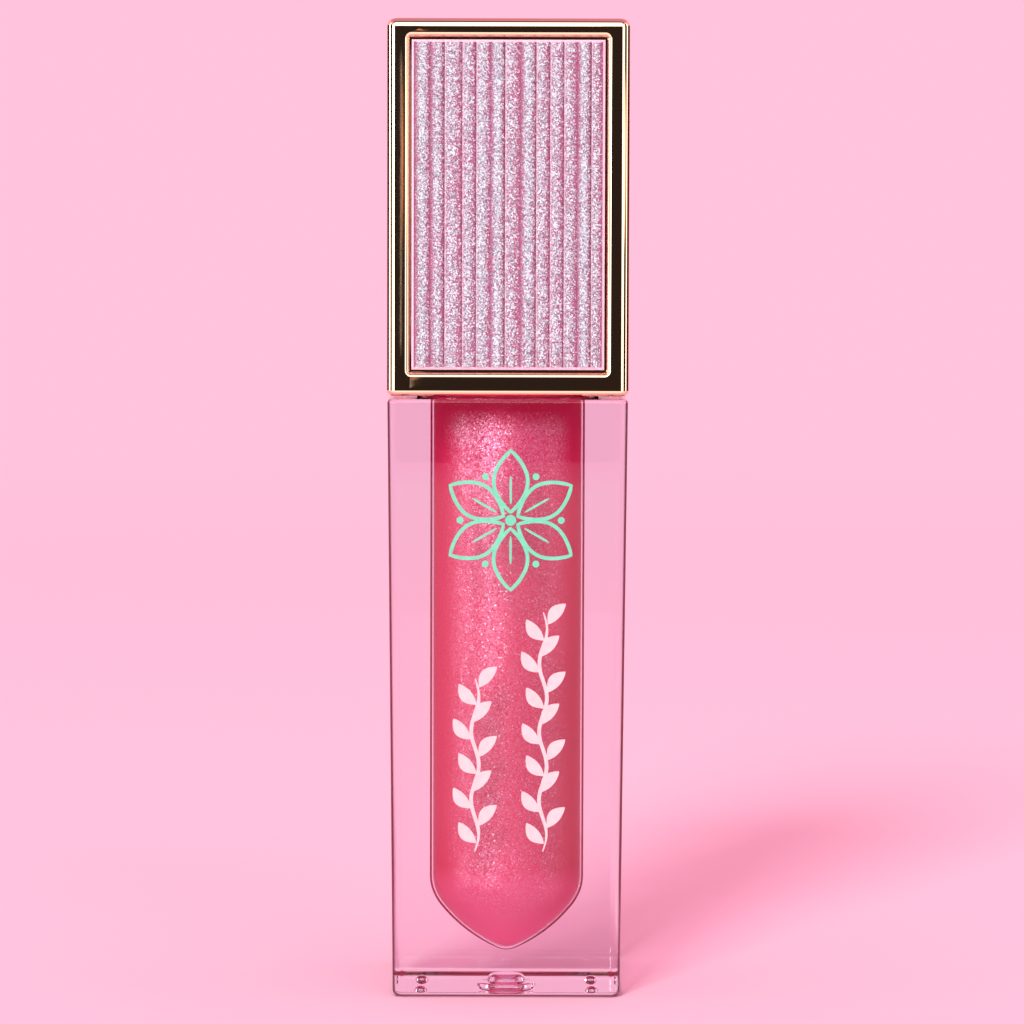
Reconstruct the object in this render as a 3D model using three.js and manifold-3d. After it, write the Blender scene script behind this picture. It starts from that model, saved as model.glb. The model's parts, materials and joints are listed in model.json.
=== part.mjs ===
// A square lip gloss tube. A thick clear block holds a vial of gloss with a pointed foot, and a
// square gold cap with a ribbed inlay on each side carries the wand. The cap unscrews from the
// vial's neck and then pulls out with the wand. Millimetres, +Z up. The origin is the middle of
// the block's foot, and the front faces -Y.

import * as THREE from "three";
import { mergeVertices } from "three/addons/utils/BufferGeometryUtils.js";
import Module from "manifold-3d";

const wasm = await Module();
wasm.setup();

// Fineness of the round shapes.
const TURNED_SEGMENTS = 32;
const CORNER_STEPS = 4;
const ROUND_STEPS = 4;
const ARC_STEPS = 6;
const THREAD_STEPS_PER_TURN = 24;
const WELD = 1e-4;
const QUARTER = Math.PI / 2;

// Clear block: it widens a little from its foot to its head.
const BLOCK_HEIGHT = 54.9;
const BLOCK_FOOT_HALF = 10.43;
const BLOCK_HEAD_HALF = 10.95;
const BLOCK_CORNER = 0.8;
const BLOCK_FOOT_ROUND = 0.6;
const BLOCK_HEAD_ROUND = 0.35;
const PUNT_RADIUS = 2.75;
const PUNT_HEIGHT = 1.15;
const DIMPLE_RADIUS = 0.6;
const DIMPLE_DEPTH = 0.45;
const DIMPLE_X = 7.9;
const DIMPLE_Y = 4.5;

// Chamber: a straight bore whose pointed foot is one arc turned about the axis.
const BORE_RADIUS = 7.05;
const BORE_TIP = 3.0;
const POINT_ARC = 13.9;
const POINT_SLOPE = THREE.MathUtils.degToRad(20);

// Vial and its threaded neck.
const VIAL_CLEARANCE = 0.15;
const VIAL_WALL = 0.3;
const VIAL_FLANGE_RADIUS = 8.0;
const VIAL_FLANGE_TOP = 55.7;
const SHOULDER_TOP = 57.2;
const NECK_RADIUS = 5.2;
const NECK_BORE = 4.2;
const NECK_TOP = 65.6;
const THREAD_PITCH = 2.4;
const THREAD_TURNS = 1.5;
const THREAD_START = 59.6;
const THREAD_WIDTH = 1.0;
const NECK_THREAD_CREST = 5.75;

// Gloss, wiper and washer.
const GLOSS_CLEARANCE = 0.1;
const GLOSS_LEVEL = 55.2;
const WELL_RADIUS = 2.6;
const WELL_FLOOR = 7.4;
const WIPER_BARREL = 4.1;
const WIPER_FLANGE = 5.0;
const WIPER_WALL = 0.5;
const WIPER_FOOT = 58.4;
const WIPER_ORIFICE = 1.75;
const WIPER_RIM_TOP = 66.2;
const WASHER_RADIUS = 5.4;
const WASHER_BORE = 2.0;
const WASHER_THICKNESS = 1.0;
const WASHER_SLACK = 0.05;

// Wand: its stem, and the flocked tip on the stem's spigot.
const STEM_RADIUS = 1.6;
const STEM_FOOT = 18.6;
const SPIGOT_RADIUS = 0.8;
const SPIGOT_LENGTH = 5.5;
const STEM_HEAD_RADIUS = 3.0;
const STEM_HEAD_HEIGHT = 6.6;
const TIP_FOOT = 8.1;
const TIP_HEAD = 18.5;
const TIP_HALF_WIDTH = 2.15;

// Threaded liner of the cap.
const LINER_RADIUS = 7.4;
const LINER_BORE = 6.25;
const LINER_THREAD_CREST = 5.95;
const LINER_FOOT = 56.8;
const LINER_CEILING = 67.3;
const LINER_CEILING_THICKNESS = 1.2;
const LINER_PLATE_HALF = 8.3;
const LINER_PLATE_THICKNESS = 1.2;
const BOSS_RADIUS = 4.6;
const BOSS_BORE = 3.1;
const BOSS_TOP = 75.6;
const BOSS_ROOF = 1.4;
const FIN_LENGTH = 3.0;
const FIN_THICKNESS = 1.0;
const FIN_HEIGHT = 9.0;

// Cap shell, its four windows and their inlays.
const CAP_BASE = 55.2;
const CAP_HEIGHT = 34.2;
const CAP_HALF = 11.0;
const CAP_CORNER = 0.8;
const CAP_HEAD_ROUND = 0.8;
const CAP_FOOT_ROUND = 0.4;
const CAVITY_HALF = 8.4;
const CAVITY_DEPTH = 31.5;
const WINDOW_HALF_WIDTH = 9.0;
const WINDOW_HALF_HEIGHT = 15.33;
const WINDOW_MIDDLE = 17.25;
const WINDOW_DEPTH = 1.4;
const WINDOW_BEVEL = 0.43;
const WINDOW_CORNER = 0.4;
const PANEL_HALF_WIDTH = 8.85;
const PANEL_HALF_HEIGHT = 15.1;
const PANEL_BACK = 9.85;
const PANEL_THICKNESS = 0.45;
const PANEL_RIM_WIDTH = 0.25;
const PANEL_RIM_HEIGHT = 0.2;
const RIB_COUNT = 13;
const RIB_HEIGHT = 0.32;
const RIB_STEPS = 4;

// Weight ring that sits loose around the liner's boss.
const WEIGHT_RADIUS = 8.2;
const WEIGHT_BORE = 5.0;
const WEIGHT_HEIGHT = 14.0;
const WEIGHT_LIFT = 0.2;
const WEIGHT_CHAMFER = 0.4;

/** A closed solid through a stack of rings of points, each ring counterclockwise seen from ahead. */
function loft(rings) {
  const count = rings[0].length;
  const last = (rings.length - 1) * count;
  const faces = [];
  for (let first = 0; first < last; first += count) {
    for (let i = 0; i < count; i++) {
      const a = first + i;
      const b = first + ((i + 1) % count);
      faces.push(a, b, b + count, a, b + count, a + count);
    }
  }
  for (let i = 1; i < count - 1; i++) {
    faces.push(0, i + 1, i);
    faces.push(last, last + i, last + i + 1);
  }
  return new THREE.BufferGeometry().setFromPoints(rings.flat()).setIndex(faces);
}

/** A solid of revolution about Z. The profile's [radius, height] points keep the material on their left. */
function turned(profile) {
  const points = profile.map(([radius, height]) => new THREE.Vector2(radius, height));
  return new THREE.LatheGeometry(points, TURNED_SEGMENTS).rotateX(QUARTER);
}

/** A solid of revolution that doesn't reach the axis. */
function turnedRing(profile) {
  return turned([...profile, profile[0]]);
}

/** A rounded rectangle in a level plane, counterclockwise from above. */
function rectangleRing(halfX, halfY, radius, height) {
  const points = [];
  for (let corner = 0; corner < 4; corner++) {
    const diagonal = (corner + 0.5) * QUARTER;
    const middleX = Math.sign(Math.cos(diagonal)) * (halfX - radius);
    const middleY = Math.sign(Math.sin(diagonal)) * (halfY - radius);
    for (let step = 0; step <= CORNER_STEPS; step++) {
      const angle = (corner + step / CORNER_STEPS) * QUARTER;
      const x = middleX + radius * Math.cos(angle);
      const y = middleY + radius * Math.sin(angle);
      points.push(new THREE.Vector3(x, y, height));
    }
  }
  return points;
}

function squareRing(half, radius, height) {
  return rectangleRing(half, half, radius, height);
}

/** A square bar with upright rounded corners, a rounded foot edge and a rounded head edge. */
function roundedBar({ footHalf, headHalf, corner, height, footRound, headRound }) {
  const rings = [];
  const addRing = (half, inset, level) => {
    rings.push(squareRing(half - inset, Math.max(corner - inset, 0.25), level));
  };
  for (let step = 0; step <= ROUND_STEPS; step++) {
    const angle = (step / ROUND_STEPS) * QUARTER;
    addRing(footHalf, footRound * (1 - Math.sin(angle)), footRound * (1 - Math.cos(angle)));
  }
  for (let step = 0; step <= ROUND_STEPS; step++) {
    const angle = (step / ROUND_STEPS) * QUARTER;
    const level = height - headRound * (1 - Math.sin(angle));
    addRing(headHalf, headRound * (1 - Math.cos(angle)), level);
  }
  return loft(rings);
}

/** A screw ridge about Z: right-handed, with ends that fade into the wall. */
function screwRidge(rootRadius, crestRadius, start) {
  const side = Math.sign(crestRadius - rootRadius);
  const steps = THREAD_STEPS_PER_TURN * THREAD_TURNS;
  const fadeSteps = THREAD_STEPS_PER_TURN / 8;
  const rings = [];
  for (let step = 0; step <= steps; step++) {
    const angle = (step / THREAD_STEPS_PER_TURN) * 4 * QUARTER;
    const level = start + (step / THREAD_STEPS_PER_TURN) * THREAD_PITCH;
    const fade = Math.min(1, (step + 1) / fadeSteps, (steps - step + 1) / fadeSteps);
    const crest = rootRadius + (crestRadius - rootRadius) * fade;
    const corners = [
      [rootRadius, -side * THREAD_WIDTH],
      [rootRadius, side * THREAD_WIDTH],
      [crest, side * THREAD_WIDTH * 0.35],
      [crest, -side * THREAD_WIDTH * 0.35],
    ];
    const place = ([radius, offset]) =>
      new THREE.Vector3(radius * Math.cos(angle), radius * Math.sin(angle), level + offset / 2);
    rings.push(corners.map(place));
  }
  return loft(rings);
}

/** The chamber's pointed foot, set in from the bore by inset: [radius, height] points from the axis out. */
function pointedFoot(inset) {
  const arc = POINT_ARC - inset;
  const middleX = -POINT_ARC * Math.sin(POINT_SLOPE);
  const middleZ = BORE_TIP + POINT_ARC * Math.cos(POINT_SLOPE);
  const fromAngle = Math.asin(-middleX / arc);
  const toAngle = Math.asin((BORE_RADIUS - inset - middleX) / arc);
  const points = [];
  for (let step = 0; step <= ARC_STEPS; step++) {
    const angle = THREE.MathUtils.lerp(fromAngle, toAngle, step / ARC_STEPS);
    points.push([Math.max(0, middleX + arc * Math.sin(angle)), middleZ - arc * Math.cos(angle)]);
  }
  points[0][0] = 0;
  return points;
}

/** A manifold solid from a closed geometry. */
function solidOf(geometry) {
  geometry.deleteAttribute("normal");
  geometry.deleteAttribute("uv");
  const welded = mergeVertices(geometry, WELD);
  const vertProperties = welded.getAttribute("position").array;
  const triVerts = new Uint32Array(welded.getIndex().array);
  return new wasm.Manifold(new wasm.Mesh({ numProp: 3, vertProperties, triVerts }));
}

/** The geometry of a base with other geometries joined to it and then cut from it. */
function combined(base, { joined = [], cut = [] }) {
  let solid = solidOf(base);
  for (const geometry of joined) {
    solid = solid.add(solidOf(geometry));
  }
  for (const geometry of cut) {
    solid = solid.subtract(solidOf(geometry));
  }
  const mesh = solid.getMesh();
  const position = new THREE.BufferAttribute(mesh.vertProperties, 3);
  return new THREE.BufferGeometry()
    .setAttribute("position", position)
    .setIndex(new THREE.BufferAttribute(mesh.triVerts, 1));
}

/** A named mesh with its own material. */
function piece(name, geometry, color, roughness, metalness = 0) {
  const material = new THREE.MeshStandardMaterial({ color, roughness, metalness });
  const mesh = new THREE.Mesh(geometry, material);
  mesh.name = name;
  geometry.computeVertexNormals();
  return mesh;
}

function outerBottle() {
  const body = roundedBar({
    footHalf: BLOCK_FOOT_HALF,
    headHalf: BLOCK_HEAD_HALF,
    corner: BLOCK_CORNER,
    height: BLOCK_HEIGHT,
    footRound: BLOCK_FOOT_ROUND,
    headRound: BLOCK_HEAD_ROUND,
  });
  const above = BLOCK_HEIGHT + 1;
  const bore = turned([...pointedFoot(0), [BORE_RADIUS, above], [0, above]]);
  const punt = turned([
    [0, -1],
    [PUNT_RADIUS, -1],
    [PUNT_RADIUS * 0.96, PUNT_HEIGHT * 0.25],
    [PUNT_RADIUS * 0.68, PUNT_HEIGHT * 0.36],
    [PUNT_RADIUS * 0.58, PUNT_HEIGHT * 0.76],
    [PUNT_RADIUS * 0.32, PUNT_HEIGHT * 0.95],
    [0, PUNT_HEIGHT],
  ]);
  const dimples = [];
  for (const [sideX, sideY] of [[-1, -1], [1, -1], [1, 1], [-1, 1]]) {
    const dimple = turned([
      [0, -1],
      [DIMPLE_RADIUS, -1],
      [DIMPLE_RADIUS * 0.8, DIMPLE_DEPTH * 0.8],
      [0, DIMPLE_DEPTH],
    ]);
    dimples.push(dimple.translate(sideX * DIMPLE_X, sideY * DIMPLE_Y, 0));
  }
  return piece("outer_bottle", combined(body, { cut: [bore, punt, ...dimples] }), 0xf9c4dc, 0.04);
}

function innerVial() {
  const outside = BORE_RADIUS - VIAL_CLEARANCE;
  const inside = outside - VIAL_WALL;
  const shell = turned([
    ...pointedFoot(VIAL_CLEARANCE),
    [outside, BLOCK_HEIGHT],
    [VIAL_FLANGE_RADIUS, BLOCK_HEIGHT],
    [VIAL_FLANGE_RADIUS, VIAL_FLANGE_TOP],
    [outside, VIAL_FLANGE_TOP],
    [NECK_RADIUS, SHOULDER_TOP],
    [NECK_RADIUS, NECK_TOP],
    [NECK_BORE, NECK_TOP],
    [NECK_BORE, SHOULDER_TOP - VIAL_WALL],
    [inside, VIAL_FLANGE_TOP - VIAL_WALL / 2],
    ...pointedFoot(VIAL_CLEARANCE + VIAL_WALL).reverse(),
  ]);
  const thread = screwRidge(NECK_RADIUS - 0.2, NECK_THREAD_CREST, THREAD_START);
  return piece("inner_vial", combined(shell, { joined: [thread] }), 0xfbe3ee, 0.05);
}

function gloss() {
  const inset = VIAL_CLEARANCE + VIAL_WALL + GLOSS_CLEARANCE;
  const filling = turned([
    ...pointedFoot(inset),
    [BORE_RADIUS - inset, GLOSS_LEVEL],
    [WELL_RADIUS, GLOSS_LEVEL],
    [WELL_RADIUS, WELL_FLOOR],
    [0, WELL_FLOOR],
  ]);
  return piece("gloss", filling, 0xe0527f, 0.25);
}

function wiper() {
  const coneTop = WIPER_FOOT + 2.6;
  const cup = turnedRing([
    [WIPER_ORIFICE, WIPER_FOOT],
    [WIPER_ORIFICE + WIPER_WALL, WIPER_FOOT],
    [WIPER_BARREL, coneTop],
    [WIPER_BARREL, NECK_TOP],
    [WIPER_FLANGE, NECK_TOP],
    [WIPER_FLANGE, WIPER_RIM_TOP],
    [WIPER_BARREL - WIPER_WALL, WIPER_RIM_TOP],
    [WIPER_BARREL - WIPER_WALL, coneTop + 0.3],
    [WIPER_ORIFICE, WIPER_FOOT + WIPER_WALL],
  ]);
  return piece("wiper", cup, 0xf4f1ee, 0.55);
}

function sealWasher() {
  const foot = WIPER_RIM_TOP + WASHER_SLACK;
  const head = foot + WASHER_THICKNESS;
  const ring = turnedRing([
    [WASHER_BORE, foot],
    [WASHER_RADIUS, foot],
    [WASHER_RADIUS, head],
    [WASHER_BORE, head],
  ]);
  return piece("seal_washer", ring, 0xf2f2f0, 0.8);
}

/** The wand's stem: a spigot for the tip, a long shank and a head that plugs into the liner. */
function stem() {
  const headFoot = LINER_CEILING + 0.05;
  const headTop = headFoot + STEM_HEAD_HEIGHT;
  const rod = turned([
    [0, STEM_FOOT - SPIGOT_LENGTH],
    [SPIGOT_RADIUS, STEM_FOOT - SPIGOT_LENGTH],
    [SPIGOT_RADIUS, STEM_FOOT],
    [STEM_RADIUS, STEM_FOOT],
    [STEM_RADIUS, headFoot],
    [STEM_HEAD_RADIUS, headFoot],
    [STEM_HEAD_RADIUS, headTop],
    [0, headTop],
  ]);
  return piece("stem", rod, 0xf7d5e2, 0.3);
}

/** The doe-foot tip: a round head that narrows to a slanted blade. */
function applicatorTip() {
  const sections = [
    { level: 0.0, halfX: 0.7, halfY: 0.4, shiftY: 0.85 },
    { level: 0.06, halfX: 1.35, halfY: 0.75, shiftY: 0.75 },
    { level: 0.2, halfX: 1.95, halfY: 1.1, shiftY: 0.6 },
    { level: 0.42, halfX: TIP_HALF_WIDTH, halfY: 1.5, shiftY: 0.4 },
    { level: 0.65, halfX: 2.0, halfY: 1.8, shiftY: 0.15 },
    { level: 0.88, halfX: 1.75, halfY: 1.75, shiftY: 0 },
    { level: 1.0, halfX: 1.5, halfY: 1.5, shiftY: 0 },
  ];
  const rings = sections.map(({ level, halfX, halfY, shiftY }) => {
    const outline = new THREE.EllipseCurve(0, shiftY, halfX, halfY).getPoints(TURNED_SEGMENTS / 2);
    outline.pop();
    const height = THREE.MathUtils.lerp(TIP_FOOT, TIP_HEAD, level);
    return outline.map(({ x, y }) => new THREE.Vector3(x, y, height));
  });
  const socketFoot = STEM_FOOT - SPIGOT_LENGTH - 0.1;
  const socketRadius = SPIGOT_RADIUS + 0.1;
  const socket = turned([
    [0, socketFoot],
    [socketRadius, socketFoot],
    [socketRadius, TIP_HEAD + 1],
    [0, TIP_HEAD + 1],
  ]);
  return piece("applicator_tip", combined(loft(rings), { cut: [socket] }), 0xf0b7c9, 0.95);
}

/** The cap's liner: a threaded skirt, a square locating plate, corner fins and the stem's boss. */
function innerCap() {
  const ceilingTop = LINER_CEILING + LINER_CEILING_THICKNESS;
  const skirt = turned([
    [0, BOSS_TOP - BOSS_ROOF],
    [BOSS_BORE, BOSS_TOP - BOSS_ROOF],
    [BOSS_BORE, LINER_CEILING],
    [LINER_BORE, LINER_CEILING],
    [LINER_BORE, LINER_FOOT],
    [LINER_RADIUS, LINER_FOOT],
    [LINER_RADIUS, ceilingTop],
    [BOSS_RADIUS, ceilingTop],
    [BOSS_RADIUS, BOSS_TOP],
    [0, BOSS_TOP],
  ]);
  const plate = combined(
    loft([
      squareRing(LINER_PLATE_HALF, BLOCK_CORNER, LINER_FOOT),
      squareRing(LINER_PLATE_HALF, BLOCK_CORNER, LINER_FOOT + LINER_PLATE_THICKNESS),
    ]),
    {
      cut: [new THREE.CylinderGeometry(7, 7, 4, TURNED_SEGMENTS).rotateX(QUARTER).translate(0, 0, LINER_FOOT)],
    },
  );
  const fins = [];
  for (let corner = 0; corner < 4; corner++) {
    const fin = new THREE.BoxGeometry(FIN_LENGTH, FIN_THICKNESS, FIN_HEIGHT)
      .translate(LINER_RADIUS - 0.3 + FIN_LENGTH / 2, 0, LINER_FOOT + 0.5 + FIN_HEIGHT / 2)
      .rotateZ((corner + 0.5) * QUARTER);
    fins.push(fin);
  }
  const thread = screwRidge(LINER_BORE + 0.2, LINER_THREAD_CREST, THREAD_START - THREAD_PITCH / 2);
  return piece("inner_cap", combined(skirt, { joined: [plate, ...fins, thread] }), 0xf3eeee, 0.45);
}

function capWeight() {
  const foot = LINER_CEILING + LINER_CEILING_THICKNESS + WEIGHT_LIFT;
  const head = foot + WEIGHT_HEIGHT;
  const ring = turnedRing([
    [WEIGHT_BORE, foot],
    [WEIGHT_RADIUS - WEIGHT_CHAMFER, foot],
    [WEIGHT_RADIUS, foot + WEIGHT_CHAMFER],
    [WEIGHT_RADIUS, head - WEIGHT_CHAMFER],
    [WEIGHT_RADIUS - WEIGHT_CHAMFER, head],
    [WEIGHT_BORE, head],
  ]);
  return piece("cap_weight", ring, 0x8f9296, 0.35, 1);
}

/** Places a shape made facing up onto one side of the cap: 0 is the front, then counterclockwise. */
function ontoSide(geometry, side, distance) {
  return geometry
    .rotateX(QUARTER)
    .translate(0, -distance, WINDOW_MIDDLE)
    .rotateZ(side * QUARTER);
}

/** The room that one window takes out of the cap's side, with a bevel round its mouth. */
function windowCutter(side) {
  const ring = (grow, level) =>
    rectangleRing(WINDOW_HALF_WIDTH + grow, WINDOW_HALF_HEIGHT + grow, WINDOW_CORNER + grow, level);
  const cutter = loft([
    ring(0, -WINDOW_DEPTH),
    ring(0, -WINDOW_BEVEL),
    ring(WINDOW_BEVEL, 0),
    ring(WINDOW_BEVEL, 1),
  ]);
  return ontoSide(cutter, side, CAP_HALF);
}

function capShell() {
  const body = roundedBar({
    footHalf: CAP_HALF,
    headHalf: CAP_HALF,
    corner: CAP_CORNER,
    height: CAP_HEIGHT,
    footRound: CAP_FOOT_ROUND,
    headRound: CAP_HEAD_ROUND,
  });
  const cavity = loft([
    squareRing(CAVITY_HALF, BLOCK_CORNER, -1),
    squareRing(CAVITY_HALF, BLOCK_CORNER, CAVITY_DEPTH),
  ]);
  const windows = [0, 1, 2, 3].map(windowCutter);
  return piece("cap_shell", combined(body, { cut: [cavity, ...windows] }), 0xd9a860, 0.12, 1);
}

/** One inlay: a thin plate with a raised rim round upright, round-backed ribs. */
function inlay(name, side) {
  const fieldHalfWidth = PANEL_HALF_WIDTH - PANEL_RIM_WIDTH;
  const fieldHalfHeight = PANEL_HALF_HEIGHT - PANEL_RIM_WIDTH;
  const rimTop = PANEL_THICKNESS + PANEL_RIM_HEIGHT;
  const plate = loft([
    rectangleRing(PANEL_HALF_WIDTH, PANEL_HALF_HEIGHT, WINDOW_CORNER, 0),
    rectangleRing(PANEL_HALF_WIDTH, PANEL_HALF_HEIGHT, WINDOW_CORNER, rimTop),
  ]);
  const field = loft([
    rectangleRing(fieldHalfWidth, fieldHalfHeight, 0.2, PANEL_THICKNESS),
    rectangleRing(fieldHalfWidth, fieldHalfHeight, 0.2, rimTop + 1),
  ]);
  const ribHalfSpan = fieldHalfWidth + 0.05;
  const ribWidth = (2 * ribHalfSpan) / RIB_COUNT;
  const outline = new THREE.Shape();
  outline.moveTo(-ribHalfSpan, PANEL_THICKNESS - 0.1);
  outline.lineTo(ribHalfSpan, PANEL_THICKNESS - 0.1);
  for (let step = 0; step <= RIB_COUNT * RIB_STEPS; step++) {
    const height = RIB_HEIGHT * (0.2 + 0.8 * Math.abs(Math.sin((step / RIB_STEPS) * Math.PI)));
    outline.lineTo(ribHalfSpan - (step / RIB_STEPS) * ribWidth, PANEL_THICKNESS + height);
  }
  const length = 2 * fieldHalfHeight + 0.1;
  const ribs = new THREE.ExtrudeGeometry(outline, { depth: length, bevelEnabled: false });
  ribs.translate(0, 0, -length / 2).rotateX(QUARTER);
  const plain = combined(plate, { cut: [field] });
  const ribbed = combined(plain, { joined: [ribs] });
  return piece(name, ontoSide(ribbed, side, PANEL_BACK), 0xe6b4cc, 0.4, 0.3);
}

const bottle = new THREE.Group();
bottle.add(outerBottle(), innerVial(), gloss(), wiper(), sealWasher());

const casing = new THREE.Group();
casing.position.z = CAP_BASE;
casing.add(capShell());
["panel_front", "panel_right", "panel_back", "panel_left"].forEach((name, side) => {
  casing.add(inlay(name, side));
});

const cap = new THREE.Group();
cap.add(casing, innerCap(), capWeight(), stem(), applicatorTip());

const tube = new THREE.Group();
tube.add(bottle, cap);

export default tube;
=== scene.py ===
import json
from math import asin, copysign, cos, pi, radians, sin, sqrt, tan

import bmesh
import bpy
from mathutils import Matrix, Vector

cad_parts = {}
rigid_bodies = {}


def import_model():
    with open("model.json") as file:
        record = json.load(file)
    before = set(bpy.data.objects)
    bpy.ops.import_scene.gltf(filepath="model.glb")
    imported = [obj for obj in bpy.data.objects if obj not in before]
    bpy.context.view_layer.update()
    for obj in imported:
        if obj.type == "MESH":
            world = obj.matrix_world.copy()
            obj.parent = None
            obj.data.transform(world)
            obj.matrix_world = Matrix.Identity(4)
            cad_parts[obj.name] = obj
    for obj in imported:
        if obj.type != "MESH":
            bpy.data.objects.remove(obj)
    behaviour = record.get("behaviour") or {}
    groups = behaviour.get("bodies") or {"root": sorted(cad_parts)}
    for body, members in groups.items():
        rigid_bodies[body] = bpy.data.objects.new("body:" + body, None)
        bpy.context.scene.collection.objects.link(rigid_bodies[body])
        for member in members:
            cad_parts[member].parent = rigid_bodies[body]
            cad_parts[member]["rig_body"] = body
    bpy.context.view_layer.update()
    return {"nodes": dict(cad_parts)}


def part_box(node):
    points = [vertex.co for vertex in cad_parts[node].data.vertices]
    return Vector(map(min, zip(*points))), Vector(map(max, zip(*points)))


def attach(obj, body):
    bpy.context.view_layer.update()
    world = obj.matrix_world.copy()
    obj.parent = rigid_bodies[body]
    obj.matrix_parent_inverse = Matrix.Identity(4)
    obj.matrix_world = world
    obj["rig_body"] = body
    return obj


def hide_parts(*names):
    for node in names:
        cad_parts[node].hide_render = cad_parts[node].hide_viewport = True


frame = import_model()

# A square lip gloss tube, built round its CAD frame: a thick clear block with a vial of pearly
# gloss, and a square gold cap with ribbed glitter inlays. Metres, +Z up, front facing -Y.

MM = 0.001
TAU = 2 * pi
QUARTER = pi / 2

# Boxes of the CAD nodes, which every piece below is placed by.
BLOCK_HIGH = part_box("outer_bottle")[1]
VIAL_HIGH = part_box("inner_vial")[1]
GLOSS_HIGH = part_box("gloss")[1]
WIPER_LOW, WIPER_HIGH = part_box("wiper")
WASHER_LOW, WASHER_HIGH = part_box("seal_washer")
SHELL_LOW, SHELL_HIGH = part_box("cap_shell")
PANEL_LOW, PANEL_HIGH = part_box("panel_front")
LINER_LOW, LINER_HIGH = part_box("inner_cap")
WEIGHT_LOW, WEIGHT_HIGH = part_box("cap_weight")
STEM_LOW, STEM_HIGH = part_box("stem")
TIP_LOW, TIP_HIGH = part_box("applicator_tip")

# Fineness of the shapes.
RING_POINTS = 128
ARC_STEPS = 8
LIP_STEPS = 10
SHARP_ANGLE = radians(32)

# Clear block. Its foot is narrower than its head.
BLOCK_FOOT_HALF = 10.43 * MM
BLOCK_HEAD_HALF = BLOCK_HIGH.x
BLOCK_CORNER = 0.8 * MM
BLOCK_FOOT_ROUND = 0.6 * MM
BLOCK_HEAD_ROUND = 0.35 * MM
BORE_RADIUS = 7.12 * MM
BORE_TIP = 3.2 * MM
BORE_MOUTH = 0.12 * MM
POINT_ARC = 13.9 * MM
POINT_SLOPE = radians(20)
POINT_SOFTENING = 0.9 * MM
PUNT_RADIUS = 2.75 * MM
PUNT_HEIGHT = 1.15 * MM
DIMPLE_RADIUS = 0.6 * MM
DIMPLE_DEPTH = 0.45 * MM
DIMPLE_PLACES = [(sx * 7.9 * MM, sy * 4.5 * MM) for sx in (-1, 1) for sy in (-1, 1)]
BODY_SLOT, SEAM_SLOT, EDGE_SLOT, FOOT_SLOT = range(4)

# Vial, neck, gloss and wiper.
VIAL_INSET = 0.15 * MM
VIAL_WALL = 0.12 * MM
SHOULDER_BLEND = 1.3 * MM
NECK_RADIUS = 5.2 * MM
NECK_BORE = 4.2 * MM
SHOULDER_TOP = BLOCK_HIGH.z + 2.3 * MM
FLANGE_TOP = BLOCK_HIGH.z + 0.8 * MM
THREAD_PITCH = 2.4 * MM
THREAD_TURNS = 1.5
THREAD_START = BLOCK_HIGH.z + 4.7 * MM
THREAD_CREST = 5.75 * MM
THREAD_HALF_WIDTH = 0.5 * MM
THREAD_ROOT_DEPTH = 0.15 * MM
# One flank of the thread's ridge, whose other flank mirrors it: rise, and place across the ridge.
THREAD_FLANK = [(0, 1), (0.55, 0.62), (0.9, 0.4), (1, 0.18)]
GLOSS_GAP = 0.03 * MM
WELL_RADIUS = 2.6 * MM
WELL_FLOOR = 7.4 * MM
WIPER_BARREL = 4.1 * MM
WIPER_WALL = 0.5 * MM
WIPER_ORIFICE = 1.75 * MM
WASHER_BORE = 2.0 * MM

# Cap and wand.
CAP_CORNER = 0.8 * MM
CAP_HEAD_ROUND = 0.8 * MM
CAP_FOOT_ROUND = 0.5 * MM
CAVITY_HALF = 8.4 * MM
CAVITY_CORNER = 0.8 * MM
CAVITY_DEPTH = 31.5 * MM
WINDOW_HALF_WIDTH = 8.95 * MM
WINDOW_HALF_HEIGHT = 15.18 * MM
WINDOW_MIDDLE = 17.31 * MM
WINDOW_DEPTH = 1.4 * MM
WINDOW_LIP = 0.43 * MM
WINDOW_CORNER = 0.15 * MM
INLAY_SIDE_GAP = 0.09 * MM
INLAY_END_GAP = 0.16 * MM
RIM_WIDTH = 0.25 * MM
RIM_DROP = 0.12 * MM
RIM_EDGE = 0.05 * MM
RIB_RISE = 0.32 * MM
RIB_STEPS = 14
RIB_FULLNESS = 0.8
FIELD_ROWS = 8
# Ribs from left to right: width in millimetres, whether the left flank is a steep step, silver on top.
RIBS = [
    (1.45, False, 0.95),
    (1.35, False, 0.85),
    (1.65, True, 0.80),
    (1.30, True, 0.78),
    (1.35, True, 0.97),
    (1.35, False, 1.00),
    (1.45, True, 0.72),
    (1.45, False, 1.00),
    (1.30, True, 0.84),
    (1.30, True, 0.82),
    (1.25, True, 0.80),
    (1.30, False, 1.00),
    (1.05, True, 0.78),
]
# A steep flank: share of the inlay's width past the valley, rise, cover of silver, crease light.
STEEP_FLANK = [(0, 0, 0, 0), (0.0018, 0.7, 0.62, 1), (0.0075, 0.74, 0.66, 1), (0.0115, 0.78, 0.7, 0)]
STEEP_FLANK_END = 0.0125
STEEP_CREST = 0.3
STEEP_SHOULDER = 0.72
LINER_RADIUS = 7.4 * MM
LINER_BORE = 6.25 * MM
LINER_THREAD_CREST = 5.95 * MM
PLATE_HEIGHT = 1.2 * MM
FIN_SIZE = (1.5 * MM, 0.5 * MM)
FIN_ENDS = (0.5 * MM, 9.5 * MM)
BOSS_RADIUS = 4.6 * MM
BOSS_BORE = 3.1 * MM
WEIGHT_BORE = 5.0 * MM
WEIGHT_CHAMFER = 0.4 * MM
STEM_RADIUS = 1.6 * MM
SPIGOT_RADIUS = 0.8 * MM
SPIGOT_LENGTH = 5.5 * MM
TIP_LEVELS = 64
TIP_LEAN = 0.85 * MM
TIP_SOCKET = 0.9 * MM

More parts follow.
